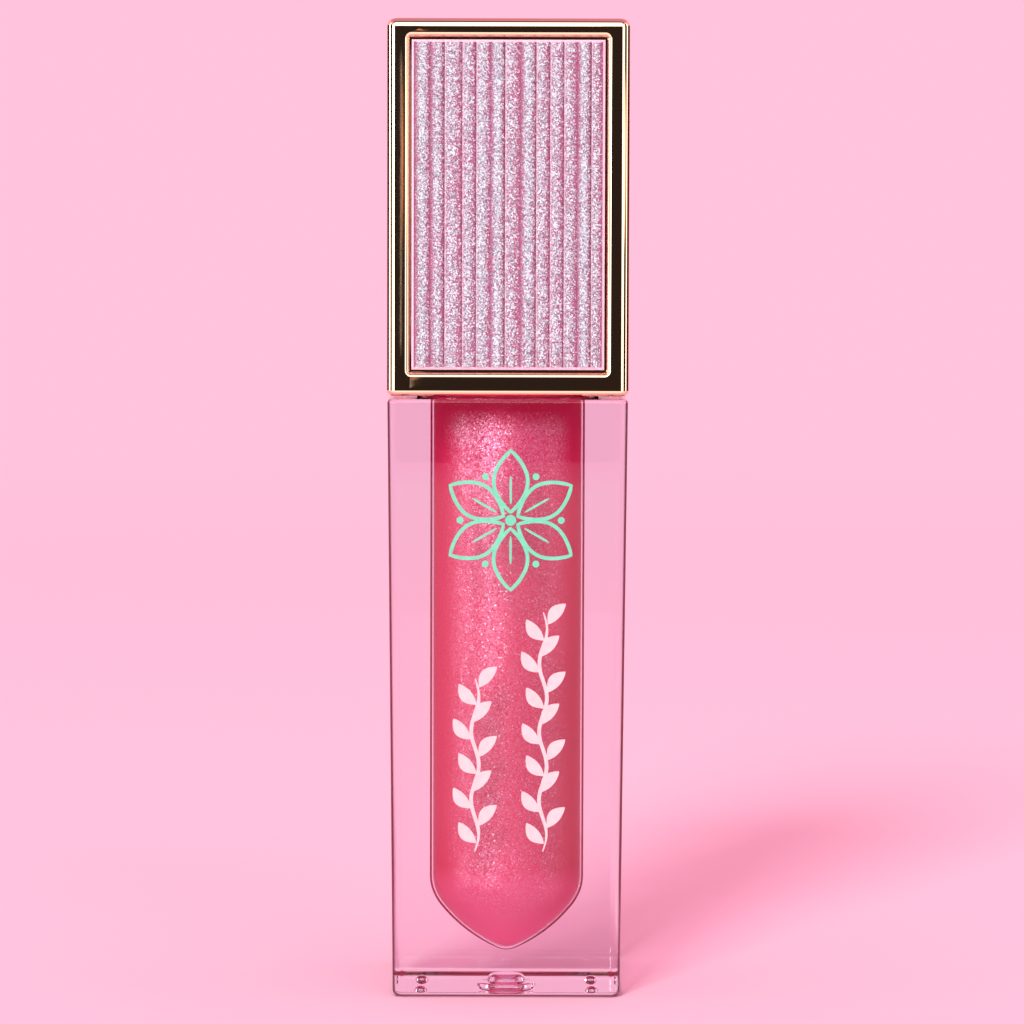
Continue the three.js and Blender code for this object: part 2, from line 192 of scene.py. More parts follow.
# Print on the front face.
INK_GAP = 0.003 * MM
INK_LAYER = 0.0012 * MM
INK_THICKNESS = 0.02 * MM
STROKE = 0.34 * MM
VEIN = 0.22 * MM
PETALS = 6
BLOSSOM_MIDDLE = Vector((0.3 * MM, 43.9 * MM))
BLOSSOM_HEART = 0.5 * MM
GARLAND_FOOT = 13.5 * MM
# Each garland: place across the face, height, and pairs of leaves.
GARLANDS = [(-2.9 * MM, 15.9 * MM, 5), (3.3 * MM, 22.0 * MM, 7)]
GARLAND_STEPS = 60

# Linear colours.
WHITE = (1.0, 1.0, 1.0, 1.0)
BLOCK_TINT = (0.845, 0.79, 0.85, 1.0)
BLOCK_SHADE = (0.80, 0.64, 0.72, 1.0)
# Painted shade laid on the block's rounded edges where they are seen at a slant.
BLOCK_EDGE_PAINTED_SHADE = (0.06, 0.002, 0.012, 1.0)
# Painted shade for the chamber's outline.
SEAM_PAINTED_SHADE = (0.34, 0.006, 0.075, 1.0)
VIAL_TINT = (1.0, 0.95, 0.97, 1.0)
GOLD_LOW = (0.93, 0.66, 0.44, 1.0)
GOLD_HIGH = (0.95, 0.70, 0.48, 1.0)
GLOSS_DEEP = (0.59, 0.024, 0.106, 1.0)
GLOSS_LIGHT = (0.62, 0.033, 0.128, 1.0)
# Painted light towards the gel's foot.
GLOSS_FOOT_PAINTED_LIGHT = (1.0, 0.29, 0.50, 1.0)
GLOSS_PEARL = (0.76, 0.63, 0.80, 1.0)
GLOSS_FLECK = (0.92, 0.86, 0.94, 1.0)
INLAY_DEEP = (0.30, 0.066, 0.145, 1.0)
INLAY_MAUVE = (0.46, 0.19, 0.31, 1.0)
INLAY_GREY = (0.20, 0.20, 0.25, 1.0)
INLAY_SILVER = (0.62, 0.74, 0.78, 1.0)
# Painted highlight along the inlay's steep creases.
INLAY_CREASE_PAINTED_HIGHLIGHT = (0.60, 0.46, 0.52, 1.0)
MINT_INK = (0.125, 0.62, 0.38, 1.0)
MINT_INK_LIGHT = (0.16, 0.68, 0.43, 1.0)
PALE_INK = (0.64, 0.55, 0.535, 1.0)
PALE_INK_LIGHT = (0.70, 0.61, 0.59, 1.0)

# The room is an even pink; the paper's own colour is such that room and lamps together match it.
ROOM_COLOUR = (1.12, 0.545, 0.725, 1.0)
PAPER_LOW = (0.79, 0.548, 0.625, 1.0)
PAPER_HIGH = (0.81, 0.563, 0.640, 1.0)
PAPER_NEAR = 0.25
PAPER_FAR = 0.80
PAPER_REACH = 30.0
# A film of air under the tube, so that its foot stays a mirror as seen from inside the block.
FLOOR_GAP = 0.02 * MM
LEFT_SCRIM = (4.5, 4.5, 4.5)
RIGHT_SCRIM = (2.2, 2.2, 2.2)
CEILING = (0.70, 0.29, 0.50)
WARM = (6.0, 3.2, 2.2)
SHEEN = (9.0, 9.6, 10.5)
STREAK = (0.50, 0.43, 0.41)
SPILL = (1.1, 0.42, 0.24)
BOUNCE = (1.4, 1.3, 1.3)
DARK = (0.026, 0.019, 0.017)
DARK_RED = (0.085, 0.010, 0.012)
CARD_DISTANCE = 0.9
LIGHT_BOUNCES = 16

CAMERA_DISTANCE = 0.461
CAMERA_HEIGHT = 0.078
CAMERA_AIM = (0.00042, 0.0, 0.04386)
CAMERA_ROLL = radians(0.16)
CAMERA_LENS = 174.5


# ---- Shape helpers ----


class Skin:
    """Collects rings of points and the faces that join them, for one mesh."""

    def __init__(self):
        self.bm = bmesh.new()

    def ring(self, points):
        return [self.bm.verts.new(p) for p in points]

    def face(self, corners, slot=0):
        self.bm.faces.new(corners).material_index = slot

    def bridge(self, first, second, slot=0):
        """Joins two rings with a band of four-sided faces."""
        count = len(first)
        for i in range(count):
            j = (i + 1) % count
            self.face((first[i], first[j], second[j], second[i]), slot)

    def fan(self, tip, ring, slot=0):
        """Closes a ring with three-sided faces round one point."""
        for first, second in zip(ring, ring[1:] + ring[:1]):
            self.face((first, second, tip), slot)

    def through(self, rings):
        """Adds a stack of rings with bands between them, and returns the first and last."""
        made = [self.ring(points) for points in rings]
        for first, second in zip(made, made[1:]):
            self.bridge(first, second)
        return made[0], made[-1]

    def solid(self, rings):
        """Adds a stack of rings and closes both of its ends."""
        first, last = self.through(rings)
        self.face(list(reversed(first)))
        self.face(last)

    def turn(self, path, slot=0, closed=False, centre=(0, 0)):
        """Turns a path of (radius, height) round an upright axis."""
        rings = []
        for radius, height in path:
            if radius < 1e-7:
                rings.append(self.bm.verts.new((centre[0], centre[1], height)))
            else:
                rings.append(self.ring(circle(radius, height, centre)))
        pairs = list(zip(rings, rings[1:]))
        if closed:
            pairs.append((rings[-1], rings[0]))
        for first, second in pairs:
            if not isinstance(first, list):
                self.fan(first, second, slot)
            elif not isinstance(second, list):
                self.fan(second, first, slot)
            else:
                self.bridge(first, second, slot)
        return rings

    def done(self, name, materials, sharp=SHARP_ANGLE):
        """The finished object, with its faces turned outwards."""
        bmesh.ops.recalc_face_normals(self.bm, faces=self.bm.faces)
        mesh = bpy.data.meshes.new(name)
        self.bm.to_mesh(mesh)
        self.bm.free()
        piece = bpy.data.objects.new(name, mesh)
        bpy.context.scene.collection.objects.link(piece)
        for material in materials:
            mesh.materials.append(material)
        smooth(piece, sharp)
        return piece


def smooth(piece, sharp=SHARP_ANGLE):
    piece.data.shade_smooth()
    piece.data.set_sharp_from_angle(angle=sharp)


def weight_normals(piece):
    """Lets large flat faces keep their true normals beside small rounded edges."""
    modifier = piece.modifiers.new("flat_faces", "WEIGHTED_NORMAL")
    modifier.mode = "FACE_AREA"
    modifier.weight = 90
    modifier.keep_sharp = True


def turned(length, angle):
    """A flat vector from its length and angle."""
    return Vector((length * cos(angle), length * sin(angle)))


def circle(radius, height, centre=(0, 0)):
    steps = (i * TAU / RING_POINTS for i in range(RING_POINTS))
    return [
        Vector((centre[0] + radius * cos(a), centre[1] + radius * sin(a), height))
        for a in steps
    ]


def square_ring(half, radius, height):
    """A rounded square whose points lie in step with those of a circle."""
    quarter = RING_POINTS // 4
    arc = quarter // 2
    straight = quarter // 4
    middle = half - radius
    corner = []
    for step in range(quarter):
        if step < straight:
            corner.append((half, middle * step / straight))
        elif step < straight + arc:
            angle = (step - straight) / arc * QUARTER
            corner.append((middle + radius * cos(angle), middle + radius * sin(angle)))
        else:
            corner.append((middle * (1 - (step - straight - arc) / straight), half))
    points = []
    for side in range(4):
        turn = Matrix.Rotation(side * QUARTER, 2)
        points += [(turn @ Vector(p)).to_3d() + Vector((0, 0, height)) for p in corner]
    return points


def rectangle_ring(half_x, half_y, radius, height, steps=ARC_STEPS):
    """A rounded rectangle in a level plane, counterclockwise from above."""
    points = []
    for corner, (side_x, side_y) in enumerate([(1, 1), (-1, 1), (-1, -1), (1, -1)]):
        middle = Vector((side_x * (half_x - radius), side_y * (half_y - radius), height))
        for step in range(steps + 1):
            angle = (corner + step / steps) * QUARTER
            points.append(middle + radius * Vector((cos(angle), sin(angle), 0)))
    return points


def rounded(corners, closed=False, steps=6):
    """The path through (x, y, fillet in millimetres) corners, with an arc for each fillet."""
    path = []
    count = len(corners)
    for i, (x, y, fillet) in enumerate(corners):
        at_end = not closed and i in (0, count - 1)
        here = Vector((x, y))
        if fillet == 0 or at_end:
            path.append(here)
            continue
        before = (Vector(corners[i - 1][:2]) - here).normalized()
        after = (Vector(corners[(i + 1) % count][:2]) - here).normalized()
        half = before.angle(after) / 2
        radius = fillet * MM
        middle = here + (before + after).normalized() * radius / sin(half)
        start = here + before * radius / tan(half) - middle
        turn = start.angle_signed(here + after * radius / tan(half) - middle)
        for step in range(steps + 1):
            path.append(middle + Matrix.Rotation(-turn * step / steps, 2) @ start)
    return path


def pointed_foot(inset, steps=32):
    """The chamber's pointed foot from the axis out to the wall, set in from the bore by inset."""
    arc = POINT_ARC - inset
    middle = Vector((-POINT_ARC * sin(POINT_SLOPE), BORE_TIP + POINT_ARC * cos(POINT_SLOPE)))
    first = asin(-middle.x / arc)
    last = asin((BORE_RADIUS - inset - middle.x) / arc)
    path = []
    for step in range(steps + 1):
        angle = first + (last - first) * step / steps
        path.append(Vector((middle.x + arc * sin(angle), middle.y - arc * cos(angle))))
    for point in path:
        if point.x < POINT_SOFTENING:
            point.y += tan(POINT_SLOPE) * (POINT_SOFTENING - point.x) ** 2 / (2 * POINT_SOFTENING)
    path[0].x = 0
    corner = path[-1]
    while (path[-1] - corner).length < SHOULDER_BLEND:
        path.pop()
    start, end = path[-1], corner + Vector((0, SHOULDER_BLEND))
    for step in range(1, ARC_STEPS + 1):
        t = step / ARC_STEPS
        path.append(start * (1 - t) ** 2 + corner * 2 * t * (1 - t) + end * t * t)
    return path


def bar_rings(halves, corner, ends, rounds):
    """Rings of a square bar from its foot's edge round, up and over to its head's edge."""
    steps = []
    for angle in (step / ARC_STEPS * QUARTER for step in range(ARC_STEPS + 1)):
        steps.append((halves[0], rounds[0] * (1 - sin(angle)), ends[0] + rounds[0] * (1 - cos(angle))))
    for angle in (step / ARC_STEPS * QUARTER for step in range(ARC_STEPS + 1)):
        steps.append((halves[1], rounds[1] * (1 - cos(angle)), ends[1] - rounds[1] * (1 - sin(angle))))
    return [
        square_ring(half - inset, max(corner - inset * 0.6, 0.2 * MM), height)
        for half, inset, height in steps
    ]


def screw_ridge(root, crest, start, name):
    """A right-handed screw ridge about Z, with rounded flanks and ends that fade into the wall."""
    side = copysign(1, crest - root)
    per_turn = 72
    fading = 12
    steps = int(per_turn * THREAD_TURNS)
    section = [(rise, -across) for rise, across in THREAD_FLANK] + THREAD_FLANK[::-1]
    rings = []
    for step in range(steps + 1):
        angle = step / per_turn * TAU
        height = start + step / per_turn * THREAD_PITCH
        fade = min(1, (step + 1) / fading, (steps - step + 1) / fading)
        out = Vector((cos(angle), sin(angle), 0))
        rings.append([
            out * (root + (crest - root) * rise * fade)
            + Vector((0, 0, height + across * THREAD_HALF_WIDTH * side))
            for rise, across in section
        ])
    skin = Skin()
    first, last = skin.through(rings)
    skin.face(first)
    skin.face(list(reversed(last)))
    return skin.done(name, [])


def boolean(piece, tool, operation):
    """Joins a tool to a piece, or cuts it out, and removes the tool."""
    modifier = piece.modifiers.new("cut", "BOOLEAN")
    modifier.operation = operation
    modifier.object = tool
    modifier.solver = "EXACT"
    bpy.context.view_layer.update()
    evaluated = piece.evaluated_get(bpy.context.evaluated_depsgraph_get())
    mesh = bpy.data.meshes.new_from_object(evaluated)
    piece.modifiers.remove(modifier)
    piece.data = mesh
    mesh.name = piece.name
    bpy.data.objects.remove(tool)


def stands_for(piece, node):
    """Puts a finished piece in its CAD node's place."""
    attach(piece, frame["nodes"][node]["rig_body"])
    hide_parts(node)


def turned_piece(node, corners, material, closed=False, steps=6):
    """A node's piece, turned round the upright axis from its fillet corners."""
    skin = Skin()
    skin.turn(rounded(corners, closed, steps), closed=closed)
    stands_for(skin.done(node, [material]), node)


# ---- Materials ----


class Nodes:
    """Adds and joins the nodes of one material."""

    def __init__(self, name):
        self.material = bpy.data.materials.new(name)
        self.material.use_nodes = True
        self.tree = self.material.node_tree
        self.tree.nodes.clear()
        self.place = self.add("TexCoord").outputs["Object"]

    def add(self, kind, inputs=None, **settings):
        node = self.tree.nodes.new("ShaderNode" + kind)
        for key, value in settings.items():
            setattr(node, key, value)
        for key, value in (inputs or {}).items():
            if isinstance(value, bpy.types.NodeSocket):
                self.tree.links.new(value, node.inputs[key])
            else:
                node.inputs[key].default_value = value
        return node

    def noise(self, size, detail=3.0, stretch=(1, 1, 1)):
        """Smooth noise with grains of about a size in millimetres."""
        place = self.add("Mapping", {"Vector": self.place, "Scale": stretch}).outputs[0]
        inputs = {"Vector": place, "Scale": 1 / (size * MM), "Detail": detail}
        return self.add("TexNoise", inputs).outputs["Fac"]

    def cells(self, size, offset=0.0):
        """Flat cells of random colour, of about a size in millimetres."""
        place = self.vector("ADD", {0: self.place, 1: (offset, offset, offset)})
        return self.add("TexVoronoi", {"Vector": place, "Scale": 1 / (size * MM)}).outputs["Color"]

    def channels(self, colour):
        return self.add("SeparateColor", {0: colour}).outputs

    def height(self):
        return self.add("SeparateXYZ", {0: self.place}).outputs["Z"]

    def slant(self):
        """How far the surface is turned away from the line of sight, from 0 to 1."""
        return self.add("LayerWeight", {"Blend": 0.5}).outputs["Facing"]

    def ramp(self, factor, low, high, to_low=0.0, to_high=1.0, **settings):
        inputs = {"Value": factor, "From Min": low, "From Max": high, "To Min": to_low, "To Max": to_high}
        return self.add("MapRange", inputs, **settings).outputs["Result"]

    def soft(self, value, low=0.0, high=1.0):
        """Takes a value from 0 at low to 1 at high, smoothed at both ends."""
        return self.ramp(value, low, high, interpolation_type="SMOOTHSTEP")

    def blend(self, factor, first, second):
        return self.add("Mix", {0: factor, 6: first, 7: second}, data_type="RGBA").outputs[2]

    def either(self, factor, first, second):
        """Mixes two shaders."""
        return self.add("MixShader", {0: factor, 1: first, 2: second}).outputs[0]

    def math(self, operation, first, second=0.0):
        return self.add("Math", {0: first, 1: second}, operation=operation).outputs[0]

    def times(self, first, second):
        return self.math("MULTIPLY", first, second)

    def vector(self, operation, inputs):
        return self.add("VectorMath", inputs, operation=operation).outputs[0]

    def bump(self, height, distance, strength=1.0):
        """A bumpy normal, whose full height is a distance in millimetres."""
        inputs = {"Height": height, "Distance": distance * MM, "Strength": strength}
        return self.add("Bump", inputs).outputs["Normal"]

    def tilted(self, grain, amount):
        """The surface's normal, with every grain of random colour leaning its own way."""
        lean = self.vector("SUBTRACT", {0: grain, 1: (0.5, 0.5, 0.5)})
        lean = self.vector("SCALE", {0: lean, "Scale": amount})
        face = self.add("NewGeometry").outputs["Normal"]
        return self.vector("NORMALIZE", {0: self.vector("ADD", {0: face, 1: lean})})

    def clear(self, colour=WHITE):
        return self.add("BsdfTransparent", {"Color": colour}).outputs[0]

    def principled(self, **inputs):
        named = {key.replace("_", " "): value for key, value in inputs.items()}
        return self.add("BsdfPrincipled", named).outputs[0]

    def finish(self, surface):
        self.add("OutputMaterial", {"Surface": surface})
        return self.material

    def plain(self, **inputs):
        """Finishes the material with one Principled surface."""
        return self.finish(self.principled(**inputs))


def rgb(red, green, blue):
    """A linear colour from one given as 0 to 255 on a screen."""
    channels = [c / 255 for c in (red, green, blue)]
    return [c / 12.92 if c <= 0.04045 else ((c + 0.055) / 1.055) ** 2.4 for c in channels] + [1.0]


def clear_plastic(name, tint, ior, shade=None, edge=None, edge_range=None):
    """Polished clear plastic with faint moulding waves.

    Lamps and scattered light pass straight in, tinted by the shade. An edge colour is painted shade,
    a dark tint laid on where the surface is seen at a slant.
    """
    mat = Nodes(name)
    colour = tint
    if edge is not None:
        # Painted shade: the edge colour darkens the surface where it is seen at a slant.
        colour = mat.blend(mat.ramp(mat.slant(), *edge_range), tint, edge)
    glass = mat.principled(
        Base_Color=colour,
        Roughness=0.0,
        IOR=ior,
        Transmission_Weight=1.0,
        Normal=mat.bump(mat.noise(6, detail=1.0), 0.0015),
    )
    path = mat.add("LightPath").outputs
    open_way = mat.math("MAXIMUM", path["Is Shadow Ray"], path["Is Diffuse Ray"])
    return mat.finish(mat.either(open_way, glass, mat.clear(shade or tint)))


def gloss_fluid():
    """Pink pearl gel: fine flakes give a silky sheen, drift in clouds and gather near the top. Painted
    light lightens its foot; painted shade thins its flakes under the cap and at its sides.
    """
    mat = Nodes("gloss_fluid")
    top = GLOSS_HIGH.z
    height = mat.height()
    clouds = mat.ramp(mat.noise(9, stretch=(1, 1, 0.5)), 0.38, 0.66)
    body = mat.blend(clouds, GLOSS_DEEP, GLOSS_LIGHT)
    # Painted light: the gel turns lighter towards its foot.
    body = mat.blend(mat.ramp(height, 4.5 * MM, 11.5 * MM, 1.0, 0.0), body, GLOSS_FOOT_PAINTED_LIGHT)
    lifted = mat.math("ADD", height, mat.times(mat.noise(5), 9 * MM))
    near_top = mat.soft(mat.ramp(lifted, top - 9 * MM, top + 1 * MM))
    # Painted shade: the flakes thin out just under the cap, where its shadow falls.
    painted_cap_shade = mat.ramp(height, top - 3.2 * MM, top - 1.4 * MM, 1.0, 0.1)
    gathered = mat.times(mat.math("MAXIMUM", near_top, mat.times(clouds, 0.3)), painted_cap_shade)
    # Painted shade: the flakes fade out where the gel is seen at a slant, which darkens its sides.
    head_on = mat.soft(mat.ramp(mat.slant(), 0.0, 0.58, 1.0, 0.0))
    grain = mat.cells(0.10)
    level, chance, shine = mat.channels(grain)
    haze = mat.ramp(level, 0.0, 1.0, 0.03, 0.34)
    haze = mat.times(haze, mat.ramp(gathered, 0.0, 1.0, 0.9, 1.35))
    spark = mat.math("GREATER_THAN", chance, mat.ramp(gathered, 0.0, 1.0, 0.955, 0.85))
    spark = mat.times(spark, mat.ramp(shine, 0.0, 1.0, 0.35, 0.9))
    flake = mat.times(mat.math("MAXIMUM", haze, spark), mat.times(head_on, painted_cap_shade))
    gel = mat.principled(Base_Color=body, Roughness=mat.ramp(clouds, 0.0, 1.0, 0.36, 0.44), IOR=1.12)
    pearl = mat.principled(
        Base_Color=mat.blend(shine, GLOSS_PEARL, GLOSS_FLECK),
        Metallic=1.0,
        Roughness=0.4,
        Normal=mat.tilted(grain, 0.25),
    )
    return mat.finish(mat.either(flake, gel, pearl))


def gold_plating():
    """Bright pale gold plating with a trace of polishing haze and orange peel."""
    mat = Nodes("gold_plating")
    haze = mat.noise(1.6, detail=4.0)
    return mat.plain(
        Base_Color=mat.blend(mat.noise(9, detail=2.0), GOLD_LOW, GOLD_HIGH),
        Metallic=1.0,
        Roughness=mat.ramp(haze, 0.3, 0.7, 0.018, 0.035),
        Normal=mat.bump(haze, 0.0004),
    )


def glitter_inlay():
    """Ribs of silver glitter that thins out to mauve in the valleys, every grain with its own tilt."""
    mat = Nodes("glitter_inlay")
    rib = mat.add("Attribute", attribute_name="rib").outputs["Fac"]
    # The crease mark carries a painted highlight along the steep flanks.
    crease = mat.add("Attribute", attribute_name="crease").outputs["Fac"]
    grain = mat.cells(0.105)
    chance, depth, shine = mat.channels(grain)
    shadow, polish, _ = mat.channels(mat.cells(0.13, offset=0.71))
    drift = mat.noise(3.2, stretch=(1, 1, 0.3))
    drift = mat.ramp(drift, 0.3, 0.7, -0.11, 0.11)
    cover = mat.math("ADD", mat.ramp(rib, 0.0, 1.0, 0.02, 0.94), drift)
    silver = mat.ramp(mat.math("SUBTRACT", cover, chance), -0.16, 0.16)
    mauve = mat.blend(depth, INLAY_DEEP, INLAY_MAUVE)
    pale = mat.blend(mat.math("POWER", shine, 0.6), INLAY_GREY, INLAY_SILVER)
    colour = mat.blend(silver, mauve, pale)
    colour = mat.blend(mat.ramp(shadow, 0.72, 0.95, 0.0, 0.55), colour, INLAY_GREY)
    return mat.plain(
        Base_Color=mat.blend(mat.times(crease, 0.65), colour, INLAY_CREASE_PAINTED_HIGHLIGHT),
        Metallic=mat.times(silver, 0.4),
        Roughness=mat.ramp(polish, 0.0, 1.0, 0.28, 0.5),
        Normal=mat.tilted(grain, 0.9),
    )


def inlay_rim():
    """The inlay's plain satin edge."""
    mat = Nodes("inlay_rim")
    mottle = mat.noise(0.8)
    return mat.plain(
        Base_Color=mat.blend(mottle, rgb(230, 182, 200), rgb(242, 204, 218)),
        Roughness=mat.ramp(mottle, 0.3, 0.7, 0.28, 0.4),
        Metallic=0.25,
    )


def ink(name, colour, shade):
    """Screen-printed ink with slightly uneven cover."""
    mat = Nodes(name)
    cover = mat.noise(0.5, detail=4.0)
    return mat.plain(
        Base_Color=mat.blend(mat.ramp(cover, 0.35, 0.65), colour, shade),
        Roughness=0.42,
        Normal=mat.bump(cover, 0.004),
    )


def moulded_plastic(name, colour, shade, roughness, glow=0.0):
    """Plain moulded plastic with faint flow marks and a fine skin."""
    mat = Nodes(name)
    flow = mat.noise(4, stretch=(1, 1, 0.3))
    skin = mat.noise(0.25, detail=2.0)
    return mat.plain(
        Base_Color=mat.blend(flow, colour, shade),
        Roughness=mat.ramp(skin, 0.3, 0.7, roughness * 0.85, roughness * 1.15),
        Subsurface_Weight=glow,
        Subsurface_Scale=1.0 * MM,
        Normal=mat.bump(skin, 0.004),
    )


def turned_steel():
    """Zinc-plated steel with fine lathe marks round its axis."""
    mat = Nodes("weight_steel")
    marks = mat.noise(0.3, stretch=(0.02, 0.02, 1))
    return mat.plain(
        Base_Color=mat.blend(mat.noise(3), rgb(150, 152, 156), rgb(190, 192, 196)),
        Metallic=1.0,
        Roughness=mat.ramp(marks, 0.3, 0.7, 0.25, 0.42),
        Normal=mat.bump(marks, 0.01),
    )


def wet_flock():
    """Short nylon flock, matted with gloss and glistening where the gloss stands on it."""
    mat = Nodes("flocking")
    fibre = mat.noise(0.12, detail=5.0)
    pool = mat.ramp(mat.noise(2.2, detail=2.0), 0.45, 0.6)
    return mat.plain(
        Base_Color=mat.blend(pool, rgb(236, 140, 166), rgb(218, 64, 102)),
        Roughness=mat.ramp(pool, 0.0, 1.0, 0.85, 0.25),
        Sheen_Weight=0.5,
        Sheen_Roughness=0.4,
        Coat_Weight=0.6,
        Coat_Roughness=0.15,
        Normal=mat.bump(fibre, 0.08, strength=0.8),
    )


def coated_stem():
    """The stem: pale plastic above, and a film of gloss below that thins out upwards."""
    mat = Nodes("stem_plastic")
    film_low, film_high = 44 * MM, 58 * MM
    edge = mat.math("ADD", mat.height(), mat.times(mat.noise(3), 8 * MM))
    film = mat.ramp(edge, film_low, film_high, 1.0, 0.0)
    streak = mat.noise(1.2, stretch=(1, 1, 0.15))
    wet = mat.blend(streak, rgb(226, 84, 120), rgb(242, 134, 160))
    dry = mat.blend(streak, rgb(247, 214, 226), rgb(250, 226, 234))
    return mat.plain(
        Base_Color=mat.blend(film, dry, wet),
        Roughness=mat.ramp(film, 0.0, 1.0, 0.32, 0.12),
        Coat_Weight=0.7,
        Coat_Roughness=0.06,
        Normal=mat.bump(streak, 0.03, strength=0.5),
    )


# ---- Bottle ----


def make_block():
    """The clear block, with its bore, its punt and the dimples in its foot."""
    high = BLOCK_HIGH.z
    halves, rounds = (BLOCK_FOOT_HALF, BLOCK_HEAD_HALF), (BLOCK_FOOT_ROUND, BLOCK_HEAD_ROUND)
    skin = Skin()
    foot, head = skin.through(bar_rings(halves, BLOCK_CORNER, (0.0, high), rounds))
    bore_path = [(BORE_RADIUS + BORE_MOUTH, high)]
    for step in range(1, 5):
        angle = step / 4 * QUARTER
        across, down = BORE_MOUTH * (1 - sin(angle)), BORE_MOUTH * (1 - cos(angle))
        bore_path.append((BORE_RADIUS + across, high - down))
    bore_path += [(p.x, p.y) for p in reversed(pointed_foot(0))]
    bore = skin.turn(bore_path, SEAM_SLOT)
    skin.bridge(head, bore[0])
    foot_edges = ring_edges(skin.bm, foot)
    punt = [
        (PUNT_RADIUS, 0, 0),
        (PUNT_RADIUS * 0.96, PUNT_HEIGHT * 0.3, 0.2),
        (PUNT_RADIUS * 0.68, PUNT_HEIGHT * 0.36, 0.1),
        (PUNT_RADIUS * 0.56, PUNT_HEIGHT * 0.98, 0.5),
        (0, PUNT_HEIGHT, 0),
    ]
    foot_edges += ring_edges(skin.bm, skin.turn(rounded(punt, steps=5))[0])
    angles = [i / 5 * QUARTER for i in range(6)]
    dimple = [(DIMPLE_RADIUS * cos(a), DIMPLE_DEPTH * sin(a)) for a in angles]
    for place in DIMPLE_PLACES:
        foot_edges += ring_edges(skin.bm, skin.turn(dimple, centre=place)[0])
    bmesh.ops.triangle_fill(skin.bm, use_beauty=True, edges=foot_edges)
    acrylic = 1.49
    materials = [
        clear_plastic("clear_block", BLOCK_TINT, acrylic, BLOCK_SHADE),
        # The seam's edge colour is painted shade: a dark ring where the bore is seen at a slant, outlining
        # the chamber.
        clear_plastic("block_to_vial_seam_painted_outline", WHITE, 1.0, edge=SEAM_PAINTED_SHADE, edge_range=(0.745, 0.80)),
        # The rounded edges' colour is painted shade where they are seen at a slant; their dark shade also
        # dims lamp light through them into a dark contact line on the paper.
        clear_plastic("clear_block_edge_painted_shade", BLOCK_TINT, acrylic, BLOCK_EDGE_PAINTED_SHADE, BLOCK_EDGE_PAINTED_SHADE, (0.18, 0.40)),
        clear_plastic("clear_block_foot", WHITE, acrylic),
    ]
    piece = skin.done("clear_block", materials)
    weight_normals(piece)
    for face in piece.data.polygons:
        if face.material_index == BODY_SLOT:
            face.material_index = block_slot(face)
    stands_for(piece, "outer_bottle")


def block_slot(face):
    """The rounded edges and the foot have materials of their own; the head's edge doesn't."""
    flatness = max(abs(part) for part in face.normal)
    outside = face.center.xy.length > 0.8 * BLOCK_FOOT_HALF
    below_head = face.center.z < BLOCK_HIGH.z - BLOCK_HEAD_ROUND
    if flatness < 0.995 and outside and below_head:
        return EDGE_SLOT
    return FOOT_SLOT if face.center.z < 0.01 * MM else BODY_SLOT


def ring_edges(bm, ring):
    """The edges between a ring's neighbouring points."""
    edges = []
    for first, second in zip(ring, ring[1:] + ring[:1]):
        edges.append(bm.edges.get((first, second)) or bm.edges.new((first, second)))
    return edges


def make_vial():
    """The vial: its wall is bonded to the block, and its neck and thread stand free above it."""
    outside = BORE_RADIUS - VIAL_INSET
    inside = outside - VIAL_WALL
    upper = [
        (outside, BLOCK_HIGH.z, 0),
        (VIAL_HIGH.x, BLOCK_HIGH.z, 0.1),
        (VIAL_HIGH.x, FLANGE_TOP, 0.15),
        (outside, FLANGE_TOP, 0.1),
        (NECK_RADIUS, SHOULDER_TOP, 0.5),
        (NECK_RADIUS, VIAL_HIGH.z, 0.15),
        (NECK_BORE, VIAL_HIGH.z, 0.15),
        (NECK_BORE, SHOULDER_TOP - VIAL_WALL, 0.5),
        (inside, FLANGE_TOP - VIAL_WALL / 2, 0),
    ]
    skin = Skin()
    skin.turn(pointed_foot(VIAL_INSET) + rounded(upper) + pointed_foot(VIAL_INSET + VIAL_WALL)[::-1])
    bonded = clear_plastic("vial_in_block", VIAL_TINT, 1.015)
    free = clear_plastic("vial_neck", VIAL_TINT, 1.5)
    piece = skin.done("inner_vial", [bonded, free])
    thread = screw_ridge(NECK_RADIUS - THREAD_ROOT_DEPTH, THREAD_CREST, THREAD_START, "neck_thread")
    boolean(piece, thread, "UNION")
    for face in piece.data.polygons:
        face.material_index = int(face.center.z > BLOCK_HIGH.z - 0.05 * MM)
    smooth(piece)
    stands_for(piece, "inner_vial")


def make_gloss():
    """The gloss, a hair's breadth inside the vial's wall, with an open well round the wand."""
    inset = VIAL_INSET + VIAL_WALL + GLOSS_GAP
    wall = BORE_RADIUS - inset
    level = GLOSS_HIGH.z
    hollow = level - 0.15 * MM
    upper = [
        (wall, level, 0),
        (wall - 0.5 * MM, hollow, 0.4),
        (WELL_RADIUS, hollow, 0.1),
        (WELL_RADIUS, WELL_FLOOR, 0.6),
        (0, WELL_FLOOR, 0),
    ]
    skin = Skin()
    skin.turn(pointed_foot(inset) + rounded(upper))
    stands_for(skin.done("gloss", [gloss_fluid()]), "gloss")


